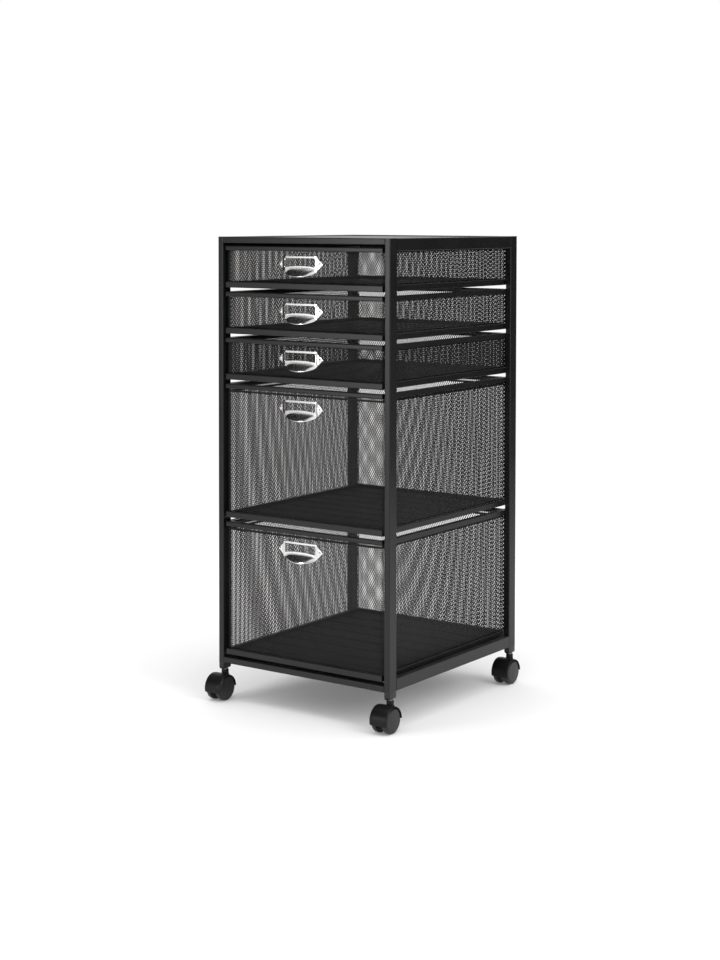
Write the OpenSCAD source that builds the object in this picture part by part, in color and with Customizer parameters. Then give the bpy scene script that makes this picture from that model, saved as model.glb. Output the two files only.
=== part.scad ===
// Mobile drawer pedestal: a welded tube frame on four twin-wheel casters, which carries
// three shallow and two deep drawers of expanded-metal mesh with card-holder pulls.
// Millimetres. +Z is up, the drawers open towards -Y, and the floor is at z = 0.

/* [Frame] */
// Width of the frame over its posts
frame_w = 335; // [300:5:420]
// Depth of the frame over its posts
frame_d = 376; // [320:4:460]
// Height of the frame's top above the floor
frame_top = 750; // [690:5:900]
// Height of the lower rails' underside above the floor
frame_foot = 60; // [56:1:70]
// Width of a post, seen from the front
post_w = 10; // [9:0.5:16]
// Depth of a post, seen from the side
post_d = 20; // [18:1:30]
// Height of the front and rear rails
cross_rail_h = 10; // [8:1:16]
// Height of the side rails
side_rail_h = 20; // [14:1:30]
// Wall of the frame's tubes
tube_wall = 1.2; // [0.8:0.1:1.3]
// Radius of the tubes' long corners
tube_round = 1.5; // [0.5:0.25:2.5]
// Thickness of the top panel
panel_t = 1.2; // [0.8:0.1:2]
// Depth of the top panel's turned-down flanges
panel_flange = 8; // [4:0.5:9]

/* [Post plugs] */
// Height of the plug's head below the post
plug_head = 7; // [4:0.5:10]
// Length of the plug inside the post
plug_insert = 18; // [12:1:30]
// Bevel round the foot of the plug's head
plug_bevel = 1.6; // [0.5:0.1:2]
// Clearance between the plug and the tube's bore, on each side
plug_fit = 0.1; // [0.05:0.05:0.2]

/* [Drawers] */
// Gap between the top rail and the first drawer
top_gap = 4; // [3:0.5:8]
// Gap between the last drawer and the bottom rail
bottom_gap = 4.6; // [3:0.2:8]
// Open gap between one drawer and the next
drawer_gap = 6.4; // [4:0.2:12]
// Gap between a drawer and the posts, on each side
side_gap = 5; // [4.5:0.25:6]
// Distance of the drawer fronts behind the frame's front
front_inset = 1.5; // [0:0.5:5]
// Distance of the drawer backs before the frame's rear
back_gap = 5; // [3:0.5:20]
// Height of a shallow drawer
shallow_h = 67.6; // [56:0.2:90]
// Height of the rim bars
rim_h = 8; // [7:0.5:12]
// Thickness of the rim bars
rim_t = 6.5; // [6:0.25:9]
// Radius of the rim bars' edges
rim_round = 2; // [0.5:0.25:2.25]
// Height of the base bars
base_h = 10; // [8:0.5:16]
// Thickness of the base bars
base_t = 5; // [4.5:0.25:8]
// Radius of the base bars' edges
base_round = 1.5; // [0.5:0.25:1.5]
// Open seam where two bars or two sheets of a drawer meet at a corner
seam = 0.05; // [0.02:0.01:0.2]

/* [Mesh] */
// Thickness of the mesh sheet
sheet_t = 1; // [0.6:0.1:1.2]
// Distance of the mesh behind the rim's outer face
mesh_setback = 2.5; // [2:0.1:3]
// Length of a mesh cell
cell_w = 36; // [30:1:60]
// Height of a mesh cell
cell_h = 24; // [20:1:40]
// Width of the strands between the cells
strand_w = 2.2; // [1.2:0.1:4]
// Solid edge left round a mesh sheet
mesh_edge = 2; // [1:0.25:5]

/* [Floors and file strips] */
// Height of the floor above the underside of the base bars
floor_rise = 3; // [2.5:0.25:5]
// Thickness of a deep drawer's floor
floor_t = 1.2; // [0.8:0.1:2]
// Number of beads pressed across a deep drawer's floor
bead_count = 7; // [3:1:10]
// Width of a bead
bead_w = 6; // [4:0.5:10]
// Depth of a bead
bead_depth = 1.6; // [0.8:0.1:2]
// Distance of the file strips below the rim's top
strip_drop = 10.2; // [9:0.2:16]
// Height of a file strip
strip_h = 3.3; // [2:0.1:8]
// Thickness of a file strip
strip_t = 2; // [1:0.25:3]

/* [Runners] */
// Distance of the runner's ends inside the frame's front and rear
runner_inset = 6; // [3:0.5:8]
// Thickness of the runner's upright web
runner_t = 2; // [1.5:0.25:3]
// Thickness of the tongue that carries the drawer
tongue_t = 2.4; // [1.6:0.1:3]
// Depth of the groove in the rim's side bars
groove_d = 3.2; // [2:0.1:3.6]
// Clearance round the tongue in its groove
tongue_fit = 0.3; // [0.2:0.05:0.5]
// Distance of the tongue's front end behind the rim's front bar
tongue_front = 2; // [1:0.5:6]

/* [Pulls] */
// Width of the pull's plate without its ears
pull_w = 62; // [50:1:80]
// Length of each pointed ear
ear_l = 10.5; // [8:0.5:16]
// Height of each ear where it meets the plate
ear_h = 22; // [14:1:26]
// Distance from the rim's top to a shallow drawer's pull
pull_drop = 15; // [10:0.5:18]
// Distance from the rim's top to a deep drawer's pull
deep_pull_drop = 20; // [14:0.5:60]
// Thickness of the pull's sheet
pull_t = 1.2; // [0.8:0.1:1.6]
// Width of the frame round the card window
window_bar = 3.4; // [2:0.2:6]
// Height of the card window at its ends
window_h = 14; // [10:0.5:18]
// Rise of the window's arched lower edge
window_arch = 2.4; // [1:0.2:4]
// Height of the finger cup
cup_h = 14.5; // [12:0.5:20]
// Distance of the cup's centre line behind the plate
cup_back = 20; // [17:0.5:26]
// Radius of the rolled lip of the cup
lip_r = 1.1; // [0.8:0.1:1.6]
// Width of the band between the window and the cup
cup_band = 3.6; // [2:0.2:6]
// Radius of the rivet heads
rivet_head_r = 2.4; // [1.8:0.1:3]
// Radius of the rivet shanks
rivet_shank_r = 1.4; // [1:0.1:1.6]
// Radial clearance of the rivets in their holes
rivet_fit = 0.05; // [0.02:0.01:0.1]
// Half thickness of the ears' blunt tips
ear_tip = 1.8; // [1:0.1:2.5]
// Plate left beside the cup's ends
cup_margin = 1; // [0.5:0.25:2]

/* [Casters] */
// Radius of the wheels
wheel_r = 20.5; // [19:0.5:24]
// Distance from the stem back to the axle
caster_trail = 12; // [10:0.5:15]
// Width of the caster over its hood
hood_w = 39; // [36:0.5:44]
// Thickness of the hood's centre web
web_w = 9; // [8:0.5:12]
// Thickness of the hood's shell
hood_wall = 1.5; // [1.2:0.1:2]
// Gap between the hood and the wheels
wheel_gap = 0.6; // [0.4:0.1:1]
// Half width of the hood's flat crown
crown_flat = 11; // [8:0.5:14]
// Fall of the crown towards the hood's side edges
crown_fall = 3; // [1.5:0.25:4]
// Angle that the hood covers, from its rear edge over the top
hood_sweep = 201; // [180:1:215]
// Radius of the hood's hub round the axle
hub_r = 7; // [5.5:0.5:9]
// Radius of the axle
axle_r = 2.5; // [2:0.1:3]
// Radius of the stem
stem_r = 3; // [2.5:0.1:3.2]
// Radial clearance of the stem and the axle in their bores
shaft_fit = 0.05; // [0.02:0.01:0.09]
// Radius of the neck that holds the stem
neck_r = 5.8; // [5:0.1:8]
// Thickness of the stem's collar
collar_t = 1.4; // [1:0.1:2]
// Radius of the stem's collar
collar_r = 4.6; // [3.8:0.1:4.9]
// Gap between the collar and the neck that turns below it
collar_gap = 0.1; // [0.1:0.05:0.3]
// Material left beyond each end of the stem
stem_seat = 3.5; // [2:0.5:5]
// Radial clearance of the axle where the hood grips it
axle_grip = 0.02; // [0.01:0.01:0.05]
// Wall of a wheel's boss round the axle
boss_wall = 2.9; // [2:0.1:4]
// Thickness of a wheel's tread
tread_t = 3.1; // [2:0.1:4]
// Thickness of a wheel's outer disc
disc_t = 1.8; // [1.2:0.1:2.2]
// Width of the rounded rim round a wheel's outer disc
disc_rim = 3.2; // [2:0.1:5]

/* [Hidden] */
$fn = 48;

DRAWERS = [1, 2, 3, 4, 5];
SHALLOW = [1, 2, 3];
DEEP = [4, 5];
CASTERS = ["front_left", "front_right", "rear_left", "rear_right"];
SIDES = ["left", "right"];

// The frame is set back by the casters' trail, so that the whole part is centred on the origin.
frame_y = caster_trail;
front_y = frame_y - frame_d / 2;
rear_y = frame_y + frame_d / 2;
inner_w = frame_w - 2 * post_w;
inner_d = frame_d - 2 * post_d;
post_x = frame_w / 2 - post_w / 2;

// Drawer sizes: the deep ones share the height that the shallow ones leave.
drawers_top = frame_top - cross_rail_h - top_gap;
drawers_bottom = frame_foot + cross_rail_h + bottom_gap;
drawer_w = inner_w - 2 * side_gap;
drawer_front = front_y + front_inset;
drawer_d = frame_d - front_inset - back_gap;
deep_h = (drawers_top - drawers_bottom - 3 * shallow_h - 4 * drawer_gap) / 2;

function drawer_h(i) = i <= 3 ? shallow_h : deep_h;
function drawers_above(i) = i <= 1 ? 0 : drawer_h(i - 1) + drawer_gap + drawers_above(i - 1);
function rim_top(i) = drawers_top - drawers_above(i);
function base_z(i) = rim_top(i) - drawer_h(i);

// Runner sizes
web_x = inner_w / 2 - runner_t;
groove_x = drawer_w / 2 - groove_d;
groove_h = tongue_t + 2 * tongue_fit;

// Caster sizes
foot_z = frame_foot - plug_head;
hood_r = wheel_r + wheel_gap + hood_wall;
hood_half = hood_w / 2;
crown_run = hood_half - crown_flat;
crown_r = (crown_run * crown_run + crown_fall * crown_fall) / (2 * crown_fall);
neck_top = foot_z - collar_t - collar_gap;
stem_low = wheel_r + hub_r + stem_seat;
stem_high = frame_foot + plug_insert - stem_seat;
wheel_in = web_w / 2 + wheel_gap;
wheel_out = hood_half - wheel_gap;
boss_r = axle_r + boss_wall;
axle_end = wheel_out - 2 * disc_t;
crown_steps = 8;

// Radius of the hood's crown at x along the axle, taken inwards by an offset
function crown(x, offset) =
    let (u = max(0, abs(x) - crown_flat))
    hood_r - crown_r + sqrt(pow(crown_r - offset, 2) - u * u);

// Frame

// A rectangle with rounded corners, made of true arcs
module rounded(w, d, r) {
    square([w - 2 * r, d], center = true);
    square([w, d - 2 * r], center = true);
    for (x = [-1, 1], y = [-1, 1])
        translate([x * (w / 2 - r), y * (d / 2 - r)])
            circle(r = r);
}

// The cross-section of a rectangular tube
module tube_section(w, d) {
    difference() {
        rounded(w, d, tube_round);
        square([w - 2 * tube_wall, d - 2 * tube_wall], center = true);
    }
}

// A post is open at the foot, where its plug goes in, and closed on top.
module post(x, y) {
    translate([x, y, frame_foot])
        linear_extrude(frame_top - frame_foot - tube_wall)
            tube_section(post_w, post_d);
    translate([x, y, frame_top - tube_wall])
        linear_extrude(tube_wall)
            rounded(post_w, post_d, tube_round);
}

module post_pair(y) {
    color("#28282a")
        for (side = [-1, 1])
            post(side * post_x, y);
}

// Rails that run across the frame, from post to post
module cross_rails(z) {
    color("#28282a")
        for (y = [front_y + post_d / 2, rear_y - post_d / 2])
            translate([-inner_w / 2, y, z + cross_rail_h / 2])
                rotate([90, 0, 90])
                    linear_extrude(inner_w)
                        tube_section(post_d, cross_rail_h);
}

// Rails that run along the sides, from post to post
module side_rails(z) {
    color("#28282a")
        for (side = [-1, 1])
            translate([side * post_x, front_y + post_d, z + side_rail_h / 2])
                rotate([-90, 0, 0])
                    linear_extrude(inner_d)
                        tube_section(post_w, side_rail_h);
}

// A shallow pressed tray, upside down, flush with the top rails
module top_panel() {
    color("#2b2b2d")
        translate([0, frame_y, frame_top - panel_flange])
            difference() {
                translate([-inner_w / 2, -inner_d / 2, 0])
                    cube([inner_w, inner_d, panel_flange]);
                translate([panel_t - inner_w / 2, panel_t - inner_d / 2, -1])
                    cube([inner_w - 2 * panel_t, inner_d - 2 * panel_t, panel_flange - panel_t + 1]);
            }
}

// A moulded plug: a bevelled head below the post, and an insert with the bore for the stem
module post_plug(x, y) {
    insert_w = post_w - 2 * tube_wall - 2 * plug_fit;
    insert_d = post_d - 2 * tube_wall - 2 * plug_fit;
    translate([x, y, 0])
        difference() {
            union() {
                intersection() {
                    translate([0, 0, foot_z])
                        linear_extrude(plug_head)
                            rounded(post_w, post_d, tube_round);
                    bevelled_block(post_w, post_d);
                    rotate([0, 0, 90])
                        bevelled_block(post_d, post_w);
                }
                translate([-insert_w / 2, -insert_d / 2, frame_foot])
                    cube([insert_w, insert_d, plug_insert]);
            }
            translate([0, 0, foot_z - 1])
                cylinder(r = stem_r + shaft_fit, h = plug_head + plug_insert);
        }
}

// A block whose two lower long edges are bevelled
module bevelled_block(w, d) {
    translate([0, d / 2 + 1, foot_z])
        rotate([90, 0, 0])
            linear_extrude(d + 2)
                polygon([
                    [plug_bevel - w / 2, 0],
                    [w / 2 - plug_bevel, 0],
                    [w / 2, plug_bevel],
                    [w / 2, plug_head],
                    [-w / 2, plug_head],
                    [-w / 2, plug_bevel]
                ]);
}

module at_posts() {
    for (x = [-post_x, post_x], y = [front_y + post_d / 2, rear_y - post_d / 2])
        translate([x, y, 0])
            children();
}

module post_plugs() {
    color("#1e1e20")
        at_posts()
            post_plug(0, 0);
}

// A runner: an upright web on the posts, and a tongue that reaches into the rim's groove
module runner(i) {
    mid_z = rim_top(i) - rim_h / 2;
    tongue_y = drawer_front + rim_t + tongue_front;
    tongue_x = groove_x + tongue_fit;
    tongue_end = rear_y - runner_inset;
    for (side = [0, 1])
        mirror([side, 0, 0]) {
            translate([web_x, front_y + runner_inset, mid_z - rim_h / 2])
                cube([runner_t, frame_d - 2 * runner_inset, rim_h]);
            translate([tongue_x, tongue_y, mid_z - tongue_t / 2])
                cube([web_x + runner_t / 2 - tongue_x, tongue_end - tongue_y, tongue_t]);
        }
}

module runners(list) {
    color("#232325")
        for (i = list)
            runner(i);
}

// Drawers

// A bar along X whose outer face is at y = 0 and whose underside is at z = 0
module front_bar(l, h, t, r) {
    translate([-l / 2, t / 2, h / 2])
        rotate([90, 0, 90])
            linear_extrude(l)
                rounded(t, h, r);
}

// A bar along Y whose outer face is at x = 0
module side_bar(l, h, t, r) {
    translate([-t / 2, 0, h / 2])
        rotate([-90, 0, 0])
            linear_extrude(l)
                rounded(t, h, r);
}

// The rim: a full front bar, grooved side bars, and a rear bar between them
module drawer_rim(i) {
    side_l = drawer_d - rim_t - seam;
    color("#2c2c2e")
        translate([0, drawer_front, rim_top(i) - rim_h]) {
            front_bar(drawer_w, rim_h, rim_t, rim_round);
            translate([0, drawer_d - rim_t, 0])
                front_bar(drawer_w - 2 * rim_t - 2 * seam, rim_h, rim_t, rim_round);
            for (side = [0, 1])
                mirror([side, 0, 0])
                    translate([drawer_w / 2, rim_t + seam, 0])
                        difference() {
                            side_bar(side_l, rim_h, rim_t, rim_round);
                            translate([-groove_d, -1, rim_h / 2 - groove_h / 2])
                                cube([groove_d + 1, side_l + 2, groove_h]);
                        }
        }
}

// The base: four bars that hold the mesh and the floor
module drawer_base(i) {
    color("#262628")
        translate([0, drawer_front, base_z(i)]) {
            front_bar(drawer_w, base_h, base_t, base_round);
            translate([0, drawer_d - base_t, 0])
                front_bar(drawer_w, base_h, base_t, base_round);
            for (side = [0, 1])
                mirror([side, 0, 0])
                    translate([drawer_w / 2, base_t + seam, 0])
                        side_bar(drawer_d - 2 * base_t - 2 * seam, base_h, base_t, base_round);
        }
}

// A flat sheet of expanded metal: staggered diamond openings inside a solid edge
module mesh_sheet(w, h) {
    columns = floor((w - 2 * mesh_edge) / cell_w);
    rows = round((h - 2 * mesh_edge) / cell_h);
    pitch_w = (w - 2 * mesh_edge) / columns;
    pitch_h = (h - 2 * mesh_edge) / rows;
    cell_span = pitch_w * pitch_h / sqrt(pitch_w * pitch_w + pitch_h * pitch_h);
    opening = 1 - strand_w / cell_span;
    half_w = opening * pitch_w / 2;
    half_h = opening * pitch_h / 2;
    difference() {
        square([w, h]);
        for (stagger = [0, 1])
            for (c = [0 : columns - 1 - stagger], r = [0 : rows - 1 - stagger])
                translate([
                    mesh_edge + (c + 0.5 + stagger / 2) * pitch_w,
                    mesh_edge + (r + 0.5 + stagger / 2) * pitch_h
                ])
                    polygon([[-half_w, 0], [0, -half_h], [half_w, 0], [0, half_h]]);
    }
}

// Four mesh walls between the base and the rim
module drawer_walls(i) {
    h = drawer_h(i) - rim_h - base_h;
    w = drawer_w - 2 * mesh_setback;
    d = drawer_d - 2 * mesh_setback - 2 * sheet_t - 2 * seam;
    color("#3a3a3c")
        translate([0, drawer_front + mesh_setback, base_z(i) + base_h]) {
            for (y = [sheet_t, drawer_d - 2 * mesh_setback])
                translate([-w / 2, y, 0])
                    rotate([90, 0, 0])
                        linear_extrude(sheet_t)
                            mesh_sheet(w, h);
            for (x = [-w / 2, w / 2 - sheet_t])
                translate([x, sheet_t + seam, 0])
                    rotate([90, 0, 90])
                        linear_extrude(sheet_t)
                            mesh_sheet(d, h);
        }
}

// A shallow drawer's floor is flat mesh, and a deep drawer's is sheet with pressed beads.
module drawer_floor(i) {
    w = drawer_w - 2 * base_t;
    d = drawer_d - 2 * base_t;
    color("#222224")
        translate([0, drawer_front + base_t, base_z(i) + floor_rise])
            if (i <= 3)
                translate([-w / 2, 0, 0])
                    linear_extrude(sheet_t)
                        mesh_sheet(w, d);
            else
                translate([-w / 2, 0, 0])
                    rotate([90, 0, 90])
                        linear_extrude(w)
                            beaded_section(d);
}

// One face of the beaded sheet: a line that dips at each bead
function bead_line(d, z) = [
    for (b = [0 : bead_count - 1])
        let (y = d * (b + 1) / (bead_count + 1))
        each [
            [y - bead_w / 2, z],
            [y - bead_w / 4, z - bead_depth],
            [y + bead_w / 4, z - bead_depth],
            [y + bead_w / 2, z]
        ]
];

// The floor's section along the depth of the drawer
module beaded_section(d) {
    upper = concat([[0, floor_t]], bead_line(d, floor_t), [[d, floor_t]]);
    lower = concat([[0, 0]], bead_line(d, 0), [[d, 0]]);
    polygon(concat(lower, [for (k = [len(upper) - 1 : -1 : 0]) upper[k]]));
}

// Strips inside a deep drawer's mesh, on which hanging files hook
module drawer_file_strips(i) {
    edge = mesh_setback + sheet_t;
    w = drawer_w - 2 * edge;
    d = drawer_d - 2 * edge;
    color("#262628")
        translate([0, drawer_front + edge, rim_top(i) - strip_drop - strip_h]) {
            for (y = [0, d - strip_t])
                translate([-w / 2, y, 0])
                    cube([w, strip_t, strip_h]);
            for (x = [-w / 2, w / 2 - strip_t])
                translate([x, strip_t + seam, 0])
                    cube([strip_t, d - 2 * strip_t - 2 * seam, strip_h]);
        }
}

// Pulls

// Height of the window's lower edge at x across the plate, from the plate's top
function window_low(x) =
    let (u = x / (pull_w / 2 - window_bar))
    -window_bar - window_h + window_arch * (1 - u * u);

ear_mid = -window_bar - window_h / 2 - 1;
cup_top = -window_bar - window_h + window_arch - cup_band;
lip_z = cup_top - cup_h;
cup_reach = cup_back + cup_h;
cup_half = sqrt(cup_reach * cup_reach - cup_back * cup_back);

// The plate's outline: a head as wide as the window, two ears, and sides drawn in to the cup
module plate_outline() {
    half = pull_w / 2;
    right = [
        [cup_half + cup_margin, lip_z],
        [half, ear_mid - ear_h / 2],
        [half + ear_l - ear_tip / 2, ear_mid - ear_tip],
        [half + ear_l, ear_mid],
        [half + ear_l - ear_tip / 2, ear_mid + ear_tip],
        [half, ear_mid + ear_h / 2],
        [half, 0]
    ];
    left = [for (k = [len(right) - 1 : -1 : 0]) [-right[k].x, right[k].y]];
    polygon(concat(right, left));
}

// The card window, with an arched lower edge
module window_outline() {
    half = pull_w / 2 - window_bar;
    steps = 12;
    arch = [for (k = [0 : steps]) let (x = half * (1 - 2 * k / steps)) [x, window_low(x)]];
    polygon(concat([[-half, -window_bar], [half, -window_bar]], arch));
}

// The cup is the front upper part of a ring with a round section, cut off at the plate.
module cup_ring(r) {
    translate([0, cup_back, lip_z])
        intersection() {
            rotate_extrude()
                translate([cup_back, 0])
                    circle(r = r);
            translate([-cup_reach, -cup_reach, 0])
                cube([2 * cup_reach, cup_reach - cup_back, r + 1]);
        }
}

// The rolled lip along the cup's lower edge
module cup_lip() {
    translate([0, cup_back, lip_z])
        intersection() {
            rotate_extrude()
                translate([cup_reach - lip_r, 0])
                    circle(r = lip_r);
            translate([-cup_reach, -cup_reach, -lip_r - 1])
                cube([2 * cup_reach, cup_reach - cup_back, 2 * lip_r + 2]);
        }
}

// A stamped pull, drawn with its plate's back at y = 0 and its top at z = 0
module pull_body() {
    difference() {
        union() {
            rotate([90, 0, 0])
                linear_extrude(pull_t)
                    plate_outline();
            cup_ring(cup_h);
            cup_lip();
        }
        cup_hollow();
        rotate([90, 0, 0])
            translate([0, 0, -1])
                linear_extrude(pull_t + 2)
                    window_outline();
        at_rivets()
            rotate([90, 0, 0])
                translate([0, 0, -1])
                    cylinder(r = rivet_shank_r + rivet_fit, h = pull_t + 2);
    }
}

// The space behind the cup, open below and through the plate
module cup_hollow() {
    translate([0, cup_back, lip_z])
        intersection() {
            rotate_extrude()
                translate([cup_back, 0])
                    circle(r = cup_h - pull_t);
            translate([-cup_reach, -cup_reach, -cup_h])
                cube([2 * cup_reach, cup_reach - cup_back + 1, 2 * cup_h]);
        }
}

module at_rivets() {
    for (side = [-1, 1])
        translate([side * (pull_w / 2 + ear_l * 0.4), 0, ear_mid])
            children();
}

function pull_top(i) = rim_top(i) - (i <= 3 ? pull_drop : deep_pull_drop);

module at_pull(i) {
    translate([0, drawer_front + mesh_setback, pull_top(i)])
        children();
}

module drawer_pull(i) {
    color("#c9c9cc")
        at_pull(i)
            pull_body();
}

// Domed rivets that hold the pull's ears to the mesh
module drawer_rivets(i) {
    color("#bdbdc0")
        at_pull(i)
            at_rivets() {
                rotate([90, 0, 0])
                    cylinder(r = rivet_shank_r, h = pull_t);
                translate([0, -pull_t, 0])
                    rotate([90, 0, 0])
                        rivet_dome();
            }
}

module rivet_dome() {
    dome_r = rivet_head_r * 1.3;
    base = sqrt(dome_r * dome_r - rivet_head_r * rivet_head_r);
    translate([0, 0, -base])
        difference() {
            sphere(r = dome_r);
            translate([-dome_r, -dome_r, -2 * dome_r + base])
                cube([2 * dome_r, 2 * dome_r, 2 * dome_r]);
        }
}

// Casters

// A revolved solid about the axle, from its outline in radius and distance along the axle
module about_axle(sweep) {
    rotate([0, 90, 0])
        rotate([0, 0, 90])
            rotate_extrude(angle = sweep)
                children();
}

// The crowned line between two distances along the axle
function crown_line(from, to, offset) = [
    for (k = [0 : crown_steps])
        let (x = from + (to - from) * k / crown_steps)
        [crown(x, offset), x]
];

module wheel_well(side) {
    mirror([side < 0 ? 1 : 0, 0, 0])
        about_axle(360)
            polygon(concat(
                [[0, web_w / 2]],
                [[hood_r - hood_wall, web_w / 2]],
                crown_line(crown_flat, hood_half, hood_wall),
                [[crown(hood_half, hood_wall), hood_half + 1], [0, hood_half + 1]]
            ));
}

// The hood: a crowned shell over both wheels, a centre web, a hub, and a neck for the stem
module caster_hood(name) {
    color("#1c1c1e")
        at_caster(name)
            hood_body();
}

module hood_body() {
    difference() {
        union() {
            about_axle(hood_sweep)
                polygon(concat(
                    [[0, -hood_half]],
                    crown_line(-hood_half, -crown_flat, 0),
                    crown_line(crown_flat, hood_half, 0),
                    [[0, hood_half]]
                ));
            translate([-web_w / 2, 0, 0])
                rotate([0, 90, 0])
                    cylinder(r = hub_r, h = web_w);
            translate([0, caster_trail, hub_r])
                cylinder(r = neck_r, h = neck_top - wheel_r - hub_r);
        }
        wheel_well(-1);
        wheel_well(1);
        translate([-hood_half, 0, 0])
            rotate([0, 90, 0])
                cylinder(r = axle_r + axle_grip, h = hood_w);
        translate([0, caster_trail, hub_r + stem_seat - collar_gap])
            cylinder(r = stem_r + shaft_fit, h = neck_top);
    }
}

module caster_wheel(name, side) {
    color("#242426")
        at_caster(name)
            wheel_body(side == "left" ? -1 : 1);
}

// A wheel: a boss with a blind bore, a dished outer disc, and a crowned tread
module wheel_body(side) {
    well = wheel_gap + hood_wall;
    edge_r = crown(wheel_out, well);
    back = wheel_out - 2.5 * disc_t;
    dish = wheel_out - disc_t;
    blind = axle_end + wheel_gap / 2;
    inner_r = wheel_r - tread_t;
    mirror([side < 0 ? 1 : 0, 0, 0])
        about_axle(360)
            polygon(concat(
                [[axle_r + shaft_fit, wheel_in], [boss_r, wheel_in]],
                [[boss_r, back], [inner_r - disc_rim, back]],
                [[inner_r, back - disc_rim], [inner_r, wheel_in]],
                [[wheel_r, wheel_in]],
                crown_line(crown_flat, wheel_out, well),
                [[edge_r - disc_rim / 2, wheel_out], [edge_r - disc_rim, dish]],
                [[hub_r, dish + disc_t / 2], [0, dish + disc_t / 2]],
                [[0, blind], [axle_r + shaft_fit, blind]]
            ));
}

module caster_axle(name) {
    color("#9a9a9e")
        at_caster(name)
            translate([-axle_end, 0, 0])
                rotate([0, 90, 0])
                    cylinder(r = axle_r, h = 2 * axle_end);
}

// Puts a caster's axle at the origin of its children
module at_caster(name) {
    left = name == "front_left" || name == "rear_left";
    front = name == "front_left" || name == "front_right";
    x = left ? -post_x : post_x;
    y = front ? front_y + post_d / 2 : rear_y - post_d / 2;
    translate([x, y - caster_trail, wheel_r])
        children();
}

// Stems: each a pin in its plug and its hood, with a collar between the two
module caster_stems() {
    color("#a8a8ac")
        at_posts() {
            translate([0, 0, stem_low])
                cylinder(r = stem_r, h = stem_high - stem_low);
            translate([0, 0, foot_z - collar_t])
                cylinder(r = collar_r, h = collar_t);
        }
}

post_pair(front_y + post_d / 2);  // front_posts
post_pair(rear_y - post_d / 2);  // rear_posts
cross_rails(frame_top - cross_rail_h);  // top_cross_rails
side_rails(frame_top - side_rail_h);  // top_side_rails
cross_rails(frame_foot);  // bottom_cross_rails
side_rails(frame_foot);  // bottom_side_rails
top_panel();
post_plugs();
runners(SHALLOW);  // shallow_runners
runners(DEEP);  // deep_runners
caster_stems();
for (i = DRAWERS) {
    drawer_rim(i);
    drawer_walls(i);
    drawer_floor(i);
    drawer_base(i);
    drawer_pull(i);
    drawer_rivets(i);
}
for (i = DEEP)
    drawer_file_strips(i);
for (c = CASTERS) {
    caster_hood(c);
    caster_axle(c);
    for (s = SIDES)
        caster_wheel(c, s);
}
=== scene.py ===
# %% [markdown]
# # A mobile pedestal with five mesh drawers
#
# This file builds the looks of a small office pedestal: a black tube frame on
# four twin-wheel casters, with three shallow and two deep drawers whose walls
# are expanded metal. The CAD model is loaded first and never changed. The
# pieces that need finer surfaces than CAD gives are then worked out with numpy.

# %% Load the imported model
import math

import bpy
import numpy as np
from mathutils import Matrix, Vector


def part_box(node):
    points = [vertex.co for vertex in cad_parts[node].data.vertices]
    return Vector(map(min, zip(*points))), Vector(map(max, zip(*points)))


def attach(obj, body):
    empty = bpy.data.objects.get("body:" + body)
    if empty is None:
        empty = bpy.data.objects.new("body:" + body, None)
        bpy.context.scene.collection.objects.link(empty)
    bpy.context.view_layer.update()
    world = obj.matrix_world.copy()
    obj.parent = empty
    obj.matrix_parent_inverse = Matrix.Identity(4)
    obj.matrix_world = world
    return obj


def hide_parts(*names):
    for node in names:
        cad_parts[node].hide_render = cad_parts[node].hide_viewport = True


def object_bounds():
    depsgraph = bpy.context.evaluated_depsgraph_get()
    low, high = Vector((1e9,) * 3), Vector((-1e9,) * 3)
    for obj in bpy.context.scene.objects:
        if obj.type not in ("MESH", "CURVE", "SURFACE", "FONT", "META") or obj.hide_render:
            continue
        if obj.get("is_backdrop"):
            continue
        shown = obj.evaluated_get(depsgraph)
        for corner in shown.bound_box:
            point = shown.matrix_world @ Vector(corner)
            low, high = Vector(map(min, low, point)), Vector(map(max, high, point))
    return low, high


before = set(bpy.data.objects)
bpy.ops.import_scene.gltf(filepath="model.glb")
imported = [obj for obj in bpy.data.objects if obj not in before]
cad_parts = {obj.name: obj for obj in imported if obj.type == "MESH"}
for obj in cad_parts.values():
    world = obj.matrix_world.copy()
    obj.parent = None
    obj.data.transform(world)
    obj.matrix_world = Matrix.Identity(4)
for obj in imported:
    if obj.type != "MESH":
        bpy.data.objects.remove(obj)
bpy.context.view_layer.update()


def plain_box():
    """The whole object's box as plain lists, in metres."""
    low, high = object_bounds()
    return [[round(float(v), 6) for v in low], [round(float(v), 6) for v in high]]


# %% [markdown]
# ## The camera
#
# The photograph was taken from in front and to the right, a little above the
# top, with a long lens. Its straight edges fix the camera: the same corners must
# land on the same pixels. The frame is taller than it is wide, so the sensor's
# 36 mm lie along its height of 960 pixels, and the focal length in pixels turns
# into millimetres by that share. The object sits below the lens axis. Tilting
# the camera down would make its uprights lean together, and in the photograph
# they hardly do, so most of the way is a vertical shift of the lens and only a
# little over two degrees is tilt.

# %% Camera
IMAGE_HEIGHT = 960
SENSOR_MM = 36.0
FOCAL_PX = 1784.9
AXIS_ROW = 288.7
CAMERA_PLACE = (1.6782, -2.3860, 0.7842)
YAW, PITCH, ROLL = (math.radians(a) for a in (35.32, 2.35, 0.078))


def camera_axes(yaw, pitch, roll):
    """Right, up and backward axes of a camera that looks along +Y turned left by
    yaw and down by pitch, and is rolled about its view."""
    level = np.array([math.cos(yaw), math.sin(yaw), 0.0])
    ahead = np.array([-math.sin(yaw), math.cos(yaw), 0.0])
    view = math.cos(pitch) * ahead - math.sin(pitch) * np.array([0.0, 0.0, 1.0])
    upright = np.cross(level, view)
    right = math.cos(roll) * level + math.sin(roll) * upright
    return right, np.cross(right, view), -view


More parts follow.
